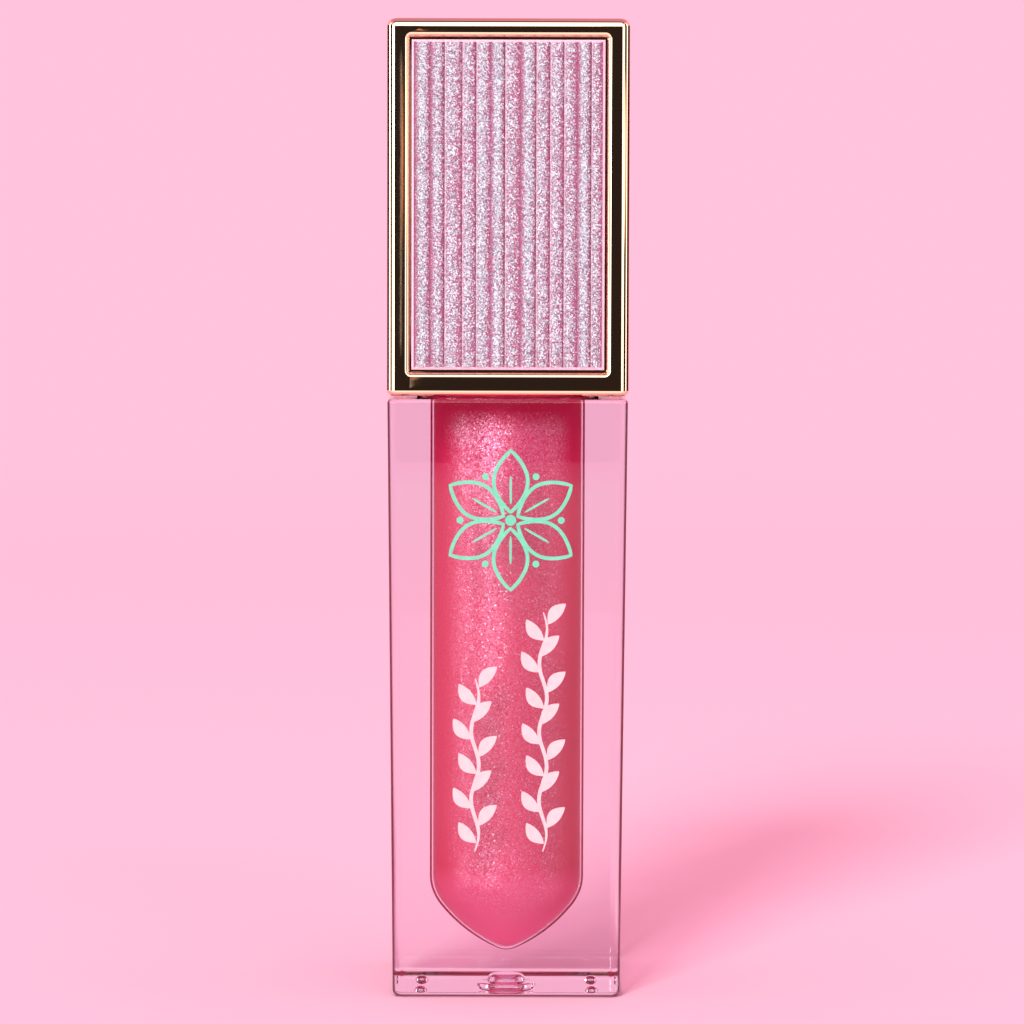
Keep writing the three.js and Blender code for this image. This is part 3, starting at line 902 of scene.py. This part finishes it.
def make_wiper():
    """The wiper: a soft cup with a rim, a stepped barrel and a thin lip."""
    foot, seat, rim = WIPER_LOW.z, VIAL_HIGH.z, WIPER_HIGH.z
    cone = foot + 2.6 * MM
    inside = WIPER_BARREL - WIPER_WALL
    corners = [
        (WIPER_ORIFICE, foot, 0.1),
        (WIPER_ORIFICE + WIPER_WALL, foot, 0.15),
        (WIPER_BARREL, cone, 0.6),
        (WIPER_BARREL, seat, 0),
        (WIPER_HIGH.x, seat, 0.08),
        (WIPER_HIGH.x, rim, 0.2),
        (inside, rim, 0.3),
        (inside, cone + 0.3 * MM, 0.5),
        (WIPER_ORIFICE, foot + WIPER_WALL, 0.1),
    ]
    plastic = moulded_plastic("soft_polyethylene", rgb(242, 236, 236), rgb(250, 246, 246), 0.5, glow=0.3)
    turned_piece("wiper", corners, plastic, closed=True)


def make_washer():
    """The seal washer, with the soft edges of punched foam."""
    low, high, outer = WASHER_LOW.z, WASHER_HIGH.z, WASHER_HIGH.x
    edge = 0.15
    corners = [(WASHER_BORE, low, edge), (outer, low, edge), (outer, high, edge), (WASHER_BORE, high, edge)]
    foam = moulded_plastic("foam_seal", rgb(236, 236, 232), rgb(246, 246, 243), 0.85)
    turned_piece("seal_washer", corners, foam, closed=True)


# ---- Cap and wand ----


def onto_side(piece, side, distance):
    """Turns a shape made face up onto one side of the cap: 0 is the front, then counterclockwise."""
    middle = SHELL_LOW.z + WINDOW_MIDDLE
    move = Matrix.Translation((0, -distance, middle)) @ Matrix.Rotation(QUARTER, 4, "X")
    piece.data.transform(Matrix.Rotation(side * QUARTER, 4, "Z") @ move)


def window_cutter(side):
    """The room of one window, whose mouth is one smooth quarter-round lip."""
    inner = 0.03 * MM
    lip = WINDOW_LIP - inner
    outer = WINDOW_LIP + 0.02 * MM
    steps = [(0, -WINDOW_DEPTH), (0, -lip - 0.05 * MM)]
    for step in range(LIP_STEPS):
        angle = (1 - step / LIP_STEPS) * QUARTER
        steps.append((WINDOW_LIP - lip * sin(angle), -lip * (1 - cos(angle))))
    steps += [(outer, 0.006 * MM), (outer, 1 * MM)]
    skin = Skin()
    sizes = (WINDOW_HALF_WIDTH, WINDOW_HALF_HEIGHT, WINDOW_CORNER)
    skin.solid([rectangle_ring(*(size + grow for size in sizes), height) for grow, height in steps])
    cutter = skin.done("window_cutter", [])
    onto_side(cutter, side, SHELL_HIGH.x)
    return cutter


def make_shell():
    """The gold shell: one rounded bar with a square cavity, and a bevelled window in each side."""
    low, high, half = SHELL_LOW.z, SHELL_HIGH.z, SHELL_HIGH.x
    edge = 0.15 * MM
    cavity = [(edge, 0), (edge * 0.3, edge * 0.3), (0, edge), (0, CAVITY_DEPTH)]
    rounds = (CAP_FOOT_ROUND, CAP_HEAD_ROUND)
    skin = Skin()
    foot, head = skin.through(bar_rings((half, half), CAP_CORNER, (low, high), rounds))
    skin.face(head)
    mouth, roof = skin.through(
        [square_ring(CAVITY_HALF + grow, CAVITY_CORNER, low + up) for grow, up in cavity]
    )
    skin.bridge(mouth, foot)
    skin.face(list(reversed(roof)))
    piece = skin.done("cap_shell", [gold_plating()])
    for side in range(4):
        boolean(piece, window_cutter(side), "DIFFERENCE")
    smooth(piece, sharp=radians(30))
    weight_normals(piece)
    stands_for(piece, "cap_shell")


def rib_crown(inside, steep):
    """A rib's height, from 0 to 1, at a share of its own width."""
    if not steep:
        return sin(pi * inside) ** RIB_FULLNESS
    climb = min(inside / STEEP_CREST, 1)
    fall = max(0.0, (inside - STEEP_CREST) / (1 - STEEP_CREST))
    shoulder = STEEP_SHOULDER + (1 - STEEP_SHOULDER) * sin(climb * QUARTER)
    return shoulder * cos(fall * QUARTER) ** RIB_FULLNESS


def rib_profile():
    """The inlay's cross-section: rows of place from 0 to 1, rise, cover of silver, and crease light."""
    total = sum(width for width, *_ in RIBS)
    rows = []
    start = 0.0
    for width, steep, silver in RIBS:
        if steep:
            rows += [(start / total + shift, *marks) for shift, *marks in STEEP_FLANK]
        for step in range(RIB_STEPS):
            inside = step / RIB_STEPS
            if steep and inside * width / total < STEEP_FLANK_END:
                continue
            crown = rib_crown(inside, steep)
            rows.append(((start + width * inside) / total, crown, crown * silver, 0.0))
        start += width
    rows.append((1.0, 0.0, 0.2, 0.0))
    return rows


def between_rims(half, rim, field):
    """Steps over the inlay: place, height, and marks, which only the field has."""
    near = [(-half + inset, height, None) for inset, height in rim]
    far = [(half - inset, height, None) for inset, height in reversed(rim)]
    return near + field + far


def make_panel(name, side, materials):
    """One inlay: a ribbed field with a plain rim, closed by a flat back."""
    half_width = (PANEL_HIGH.x - PANEL_LOW.x) / 2 - INLAY_SIDE_GAP
    half_height = (PANEL_HIGH.z - PANEL_LOW.z) / 2 - INLAY_END_GAP
    thickness = PANEL_HIGH.y - PANEL_LOW.y
    valley = thickness - RIB_RISE
    top = thickness - RIM_DROP
    field = half_width - RIM_WIDTH
    field_up = half_height - RIM_WIDTH
    start = RIM_EDGE * 0.3
    rim = [(0, top - RIM_EDGE), (start, top - start), (RIM_EDGE, top), (RIM_WIDTH - RIM_EDGE, top)]
    ribs = [
        (-field + 2 * field * place, valley + rise * RIB_RISE, marks)
        for place, rise, *marks in rib_profile()
    ]
    rows = [(-field_up + 2 * field_up * i / FIELD_ROWS, 0, True) for i in range(FIELD_ROWS + 1)]
    across = between_rims(half_width, rim, ribs)
    along = between_rims(half_height, rim, rows)
    skin = Skin()
    rib_layer = skin.bm.verts.layers.float.new("rib")
    # The crease mark is a painted highlight along the steep flanks.
    painted_crease_highlight_layer = skin.bm.verts.layers.float.new("crease")
    grid = []
    for y, row_height, in_rows in along:
        row = []
        for x, height, marks in across:
            if not in_rows:
                height = row_height if marks else min(height, row_height)
            vert = skin.bm.verts.new((x, y, height))
            if marks:
                vert[rib_layer], vert[painted_crease_highlight_layer] = marks
            row.append(vert)
        grid.append(row)
    for number, (lower, upper) in enumerate(zip(grid, grid[1:])):
        for i in range(len(across) - 1):
            in_columns = len(rim) <= i < len(across) - len(rim) - 1
            in_field = in_columns and len(rim) <= number < len(along) - len(rim) - 1
            skin.face((lower[i], lower[i + 1], upper[i + 1], upper[i]), 0 if in_field else 1)
    border = grid[0] + [row[-1] for row in grid[1:]] + grid[-1][-2::-1] + [row[0] for row in grid[-2:0:-1]]
    back = skin.ring([(v.co.x, v.co.y, 0) for v in border])
    skin.bridge(back, border, slot=1)
    skin.face(list(reversed(back)), slot=1)
    piece = skin.done(name, materials, sharp=radians(50))
    onto_side(piece, side, -PANEL_HIGH.y)
    stands_for(piece, name)


def liner_plate():
    """The square plate that centres the liner in the cap."""
    plate = Skin()
    low, high = LINER_LOW.z + 0.01 * MM, LINER_LOW.z + PLATE_HEIGHT
    half, hole = LINER_HIGH.x, LINER_RADIUS - 0.4 * MM
    outer_low, outer_high = plate.through([square_ring(half, CAVITY_CORNER, z) for z in (low, high)])
    inner_high, inner_low = plate.through([circle(hole, z) for z in (high, low)])
    plate.bridge(outer_high, inner_high)
    plate.bridge(inner_low, outer_low)
    return plate.done("plate", [])


def liner_fin(corner):
    """An upright fin on the liner's skirt, towards one corner of the cap."""
    fin = Skin()
    fin.solid([rectangle_ring(*FIN_SIZE, 0.15 * MM, LINER_LOW.z + end, steps=3) for end in FIN_ENDS])
    tool = fin.done("fin", [])
    turn = Matrix.Rotation((corner + 0.5) * QUARTER, 4, "Z")
    tool.data.transform(turn @ Matrix.Translation((LINER_RADIUS + 1.2 * MM, 0, 0)))
    return tool


def make_liner():
    """The liner: threaded skirt, square locating plate, corner fins and the stem's boss."""
    low, high = LINER_LOW.z, LINER_HIGH.z
    ceiling = VIAL_HIGH.z + 1.7 * MM
    roof = ceiling + 1.2 * MM
    corners = [
        (0, high - 1.4 * MM, 0),
        (BOSS_BORE, high - 1.4 * MM, 0.2),
        (BOSS_BORE, ceiling, 0.1),
        (LINER_BORE, ceiling, 0.3),
        (LINER_BORE, low, 0.2),
        (LINER_RADIUS, low, 0.15),
        (LINER_RADIUS, roof, 0.3),
        (BOSS_RADIUS, roof, 0.3),
        (BOSS_RADIUS, high, 0.4),
        (0, high, 0),
    ]
    skin = Skin()
    skin.turn(rounded(corners))
    material = moulded_plastic("liner_plastic", rgb(240, 234, 233), rgb(248, 243, 242), 0.35)
    piece = skin.done("inner_cap", [material])
    boolean(piece, liner_plate(), "UNION")
    for corner in range(4):
        boolean(piece, liner_fin(corner), "UNION")
    root, start = LINER_BORE + THREAD_ROOT_DEPTH, THREAD_START - THREAD_PITCH / 2
    boolean(piece, screw_ridge(root, LINER_THREAD_CREST, start, "liner_thread"), "UNION")
    smooth(piece)
    stands_for(piece, "inner_cap")


def make_weight():
    """The weight ring, with turned chamfers."""
    low, high, outer = WEIGHT_LOW.z, WEIGHT_HIGH.z, WEIGHT_HIGH.x
    corners = [
        (WEIGHT_BORE, low, 0.1),
        (outer - WEIGHT_CHAMFER, low, 0.08),
        (outer, low + WEIGHT_CHAMFER, 0.08),
        (outer, high - WEIGHT_CHAMFER, 0.08),
        (outer - WEIGHT_CHAMFER, high, 0.08),
        (WEIGHT_BORE, high, 0.1),
    ]
    turned_piece("cap_weight", corners, turned_steel(), closed=True, steps=3)


def make_stem():
    """The wand's stem, with its spigot and head."""
    low, high, outer = STEM_LOW.z, STEM_HIGH.z, STEM_HIGH.x
    foot = low + SPIGOT_LENGTH
    head = VIAL_HIGH.z + 1.75 * MM
    corners = [
        (0, low, 0),
        (SPIGOT_RADIUS, low, 0.2),
        (SPIGOT_RADIUS, foot, 0.1),
        (STEM_RADIUS, foot, 0.2),
        (STEM_RADIUS, head, 0.1),
        (outer, head, 0.15),
        (outer, high, 0.4),
        (0, high, 0),
    ]
    turned_piece("stem", corners, coated_stem())


def tip_ring(along):
    """One ring of the wand's tip, at a share of its height."""
    height = TIP_LOW.z + (TIP_HIGH.z - TIP_LOW.z) * along
    grow = sqrt(1 - (1 - min(along / 0.42, 1)) ** 2)
    neck = 1 - 0.28 * max(0, (along - 0.5) / 0.5) ** 1.5
    close = sqrt(max(0.0, 1 - max(0, (along - 0.95) / 0.05) ** 2))
    blade = min(1, along / 0.85)
    wide = TIP_HIGH.x * 0.97 * grow * neck * (0.75 + 0.25 * close)
    deep = wide * (0.55 + 0.45 * blade)
    shift = TIP_LEAN * (1 - blade)
    ring = []
    for i in range(RING_POINTS):
        angle = i * TAU / RING_POINTS
        pit = 1 + 0.012 * sin(13 * angle + 31 * along) * sin(9 * angle - 47 * along)
        ring.append(Vector((wide * pit * cos(angle), shift + deep * pit * sin(angle), height)))
    return ring


def make_tip():
    """The flocked doe foot: a round head that flattens to a slanted, softly pitted blade."""
    skin = Skin()
    first, last = skin.through([tip_ring(step / TIP_LEVELS) for step in range(1, TIP_LEVELS)])
    skin.fan(skin.ring([(0, TIP_LEAN, TIP_LOW.z)])[0], first)
    socket_foot = STEM_LOW.z - 0.1 * MM
    mouth = skin.turn([(TIP_SOCKET, TIP_HIGH.z), (TIP_SOCKET, socket_foot), (0, socket_foot)])
    skin.bridge(last, mouth[0])
    piece = skin.done("applicator_tip", [wet_flock()], sharp=radians(60))
    stands_for(piece, "applicator_tip")


# ---- Print on the front face ----


def on_front(place, proud):
    """A point over the block's leaning front face."""
    half = BLOCK_FOOT_HALF + (BLOCK_HEAD_HALF - BLOCK_FOOT_HALF) * place.y / BLOCK_HIGH.z
    return Vector((place.x, -half - proud, place.y))


def add_patch(skin, outline, layer=0):
    """One flat patch of ink with thickness, from its outline in the front face's plane."""
    foot = INK_GAP + layer * INK_LAYER
    skin.solid([[on_front(p, proud) for p in outline] for proud in (foot, foot + INK_THICKNESS)])


def add_stroke(skin, path, width, layer=0, closed=False):
    """A line of ink along a path. An open line has tapered ends."""
    count = len(path)
    foot = INK_GAP + layer * INK_LAYER
    top = foot + INK_THICKNESS
    rows = []
    for i, point in enumerate(path):
        if closed:
            ahead = path[(i + 1) % count] - path[i - 1]
            half = width / 2
        else:
            ahead = path[min(i + 1, count - 1)] - path[max(i - 1, 0)]
            half = width / 2 * min(1, 0.3 + 5 * min(i, count - 1 - i) / count)
        across = Vector((-ahead.y, ahead.x)).normalized() * half
        a, b = point + across, point - across
        rows.append([on_front(a, foot), on_front(b, foot), on_front(b, top), on_front(a, top)])
    if closed:
        first, last = skin.through(rows)
        skin.bridge(last, first)
    else:
        skin.solid(rows)


def leaf_outline(root, direction, length, width, bow=0.08, steps=18):
    """An almond leaf from its root along a direction, as a closed outline."""
    along = direction.normalized()
    across = Vector((-along.y, along.x))
    left, right = [], []
    for step in range(steps + 1):
        t = step / steps
        half = width / 2 * sin(pi * t) ** 0.85
        spine = root + along * length * t + across * bow * length * sin(pi * t)
        left.append(spine + across * half)
        right.append(spine - across * half)
    return left + right[-2:0:-1]


def printed(skin, name, material):
    """Fixes finished ink to the bottle."""
    piece = skin.done(name, [material])
    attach(piece, "bottle")


def make_emblem():
    """A plain six-petalled blossom in thin mint lines."""
    skin = Skin()
    for number in range(PETALS):
        turn = TAU * number / PETALS
        heading = Vector((sin(turn), cos(turn)))
        root = BLOSSOM_MIDDLE + heading * 0.75 * MM
        petal = leaf_outline(root, heading, 5.6 * MM, 3.1 * MM, bow=0.0)
        add_stroke(skin, petal, STROKE, layer=number, closed=True)
        vein = [root + heading * (0.7 + 2.6 * step / 8) * MM for step in range(9)]
        add_stroke(skin, vein, VEIN, layer=number)
        between = turn + TAU / PETALS / 2
        bead = BLOSSOM_MIDDLE + Vector((sin(between), cos(between))) * 4.6 * MM
        add_patch(skin, [bead + turned(0.32 * MM, TAU * step / 16) for step in range(16)])
    heart = [BLOSSOM_MIDDLE + turned(BLOSSOM_HEART, TAU * step / 24) for step in range(24)]
    add_patch(skin, heart, layer=PETALS)
    printed(skin, "mint_blossom", ink("mint_ink", MINT_INK, MINT_INK_LIGHT))


def make_garlands():
    """Two upright garlands of small filled leaves in pale ink."""
    skin = Skin()
    for middle, tall, pairs in GARLANDS:
        spine = []
        for step in range(GARLAND_STEPS + 1):
            t = step / GARLAND_STEPS
            sway = 0.35 * MM * sin(t * pairs * pi)
            spine.append(Vector((middle + sway, GARLAND_FOOT + tall * t)))
        add_stroke(skin, spine, STROKE)
        for number in range(pairs * 2):
            t = (number + 0.5) / (pairs * 2)
            side = 1 if number % 2 else -1
            root = spine[int(t * GARLAND_STEPS)] + Vector((side * 0.12 * MM, 0))
            leaf = leaf_outline(root, Vector((side * 0.85, 1)), 2.5 * MM, 1.15 * MM)
            add_patch(skin, leaf, layer=1 + number % 2)
    printed(skin, "pale_garlands", ink("pale_ink", PALE_INK, PALE_INK_LIGHT))


# ---- Stage, lights and camera ----


def sheet(skin, half_x, half_y):
    """One flat rectangle, face up."""
    corners = [(-half_x, -half_y, 0), (half_x, -half_y, 0), (half_x, half_y, 0), (-half_x, half_y, 0)]
    skin.face(skin.ring(corners))


def backdrop_material():
    """Matt pink paper round the tube, which fades to an even glow far from it."""
    mat = Nodes("backdrop_paper")
    colour = mat.blend(mat.noise(1.5), PAPER_LOW, PAPER_HIGH)
    paper = mat.add("BsdfDiffuse", {"Color": colour}).outputs[0]
    glow = mat.add("Emission", {"Color": ROOM_COLOUR}).outputs[0]
    away = mat.add("VectorMath", {0: mat.place}, operation="LENGTH").outputs["Value"]
    return mat.finish(mat.either(mat.soft(away, PAPER_NEAR, PAPER_FAR), paper, glow))


def make_backdrop():
    """A wide sheet of paper, which meets the room's even glow without an edge."""
    skin = Skin()
    sheet(skin, PAPER_REACH, PAPER_REACH)
    paper = skin.done("backdrop", [backdrop_material()])
    paper.location.z = -FLOOR_GAP


def make_world():
    world = bpy.data.worlds.new("soft_pink_room")
    world.use_nodes = True
    world.node_tree.nodes["Background"].inputs["Color"].default_value = ROOM_COLOUR
    bpy.context.scene.world = world


def around(azimuth, elevation, distance):
    """A place round the tube's middle: azimuth from the camera's side, positive to the right."""
    turn, lift = radians(azimuth), radians(elevation)
    flat = distance * cos(lift)
    return Vector((flat * sin(turn), -flat * cos(turn), 0.05 + distance * sin(lift)))


def aim(thing, target):
    thing.rotation_euler = (Vector(target) - thing.location).to_track_quat("-Z", "Y").to_euler()


def softbox(name, place, size, radiance):
    """A soft rectangular lamp of an even radiance that faces the tube and hides from mirrors."""
    lamp = bpy.data.lights.new(name, "AREA")
    lamp.shape = "RECTANGLE"
    lamp.size, lamp.size_y = size
    lamp.energy = radiance * pi * size[0] * size[1]
    thing = bpy.data.objects.new(name, lamp)
    thing.location = place
    thing.visible_glossy = False
    bpy.context.scene.collection.objects.link(thing)
    aim(thing, (0, 0, 0.05))


def card(name, place, size, colour, target=(0, 0, 0.06), fade=0.0, in_mirrors=True, in_glass=True):
    """A glowing card that only mirrors and clear plastic show. A fade softens its edges by that share."""
    skin = Skin()
    half_x, half_y = size[0] / 2, size[1] / 2
    sheet(skin, half_x, half_y)
    mat = Nodes(name + "_face")
    low, high = ([share * channel for channel in colour] + [1] for share in (0.97, 1.03))
    surface = mat.add("Emission", {"Color": mat.blend(mat.noise(20, detail=2.0), low, high)}).outputs[0]
    if fade:
        place_on = mat.vector("ABSOLUTE", {0: mat.place})
        sides = mat.add("SeparateXYZ", {0: place_on}).outputs
        near_x = mat.ramp(sides["X"], half_x * (1 - fade), half_x, 1, 0)
        near_y = mat.ramp(sides["Y"], half_y * (1 - fade), half_y, 1, 0)
        surface = mat.either(mat.times(mat.soft(near_x), mat.soft(near_y)), mat.clear(), surface)
    thing = skin.done(name, [mat.finish(surface)])
    thing.location = place
    aim(thing, target)
    thing.visible_camera = False
    thing.visible_diffuse = False
    thing.visible_shadow = False
    thing.visible_glossy = in_mirrors
    thing.visible_transmission = in_glass


def side_card(name, first, last, colour, height=1.3, in_glass=True):
    """An upright card round the tube between two azimuths."""
    width = 2 * CARD_DISTANCE * tan(radians(abs(last - first) / 2))
    card(name, around((first + last) / 2, 3, CARD_DISTANCE), (width, height), colour, in_glass=in_glass)


def make_camera():
    camera = bpy.data.cameras.new("camera")
    camera.lens = CAMERA_LENS
    camera.clip_start = 0.01
    thing = bpy.data.objects.new("camera", camera)
    thing.location = (CAMERA_AIM[0], -CAMERA_DISTANCE, CAMERA_HEIGHT)
    bpy.context.scene.collection.objects.link(thing)
    aim(thing, CAMERA_AIM)
    thing.rotation_euler.rotate_axis("Z", CAMERA_ROLL)
    bpy.context.scene.camera = thing


def make_lights():
    softbox("key_box", around(-18, 33, 5.0), (1.15, 1.75), 33.0)
    softbox("fill_box", around(28, 42, 5.0), (1.6, 1.6), 1.4)
    for side, name, scrim in ((-1, "left", LEFT_SCRIM), (1, "right", RIGHT_SCRIM)):
        side_card(name + "_scrim", side * 16, side * 45, scrim, in_glass=False)
        side_card(name + "_gap", side * 45, side * 74, DARK)
        side_card(name + "_strip", side * 74, side * 90, scrim)
        side_card(name + "_flag", side * 90, side * 141, DARK_RED, height=0.36)
    card("top_scrim", around(0, 35, CARD_DISTANCE), (0.42, 0.84), RIGHT_SCRIM)
    card("top_gap", around(0, 68, CARD_DISTANCE), (1.0, 0.25), DARK)
    card("ceiling", around(0, 108, CARD_DISTANCE), (1.3, 1.15), CEILING)
    up = (0, -0.31, 1.0)
    card("front_bounce", (0.0, -0.31, 0.001), (0.5, 0.56), BOUNCE, up, fade=0.3, in_glass=False)
    card("camera_card", (0.0, -0.60, 0.080), (0.34, 0.22), DARK)
    card("sheen_strip", around(-41, 0, 0.8), (0.60, 0.64), SHEEN, in_mirrors=False, fade=0.25)
    card("warm_glint", (0.60, -0.50, 0.0745), (0.34, 0.05), WARM, (0, 0, 0.0745), fade=0.9)
    card("frame_streak", (-0.0214, -0.598, 0.066), (0.0013, 0.066), STREAK, (-0.0214, 0, 0.066), fade=0.15)
    card("warm_spill", (-0.0194, -0.597, 0.075), (0.0026, 0.044), SPILL, (-0.0194, 0, 0.075), fade=0.9)


def set_colours_and_bounces():
    scene = bpy.context.scene
    scene.view_settings.view_transform = "Standard"
    scene.view_settings.look = "None"
    scene.cycles.max_bounces = LIGHT_BOUNCES
    scene.cycles.transmission_bounces = LIGHT_BOUNCES
    scene.cycles.transparent_max_bounces = LIGHT_BOUNCES


make_camera()
make_block()
make_vial()
make_gloss()
make_wiper()
make_washer()
make_shell()
inlay_materials = [glitter_inlay(), inlay_rim()]
for number, panel in enumerate(("panel_front", "panel_right", "panel_back", "panel_left")):
    make_panel(panel, number, inlay_materials)
make_liner()
make_weight()
make_stem()
make_tip()
make_emblem()
make_garlands()
make_backdrop()
make_world()
make_lights()
set_colours_and_bounces()
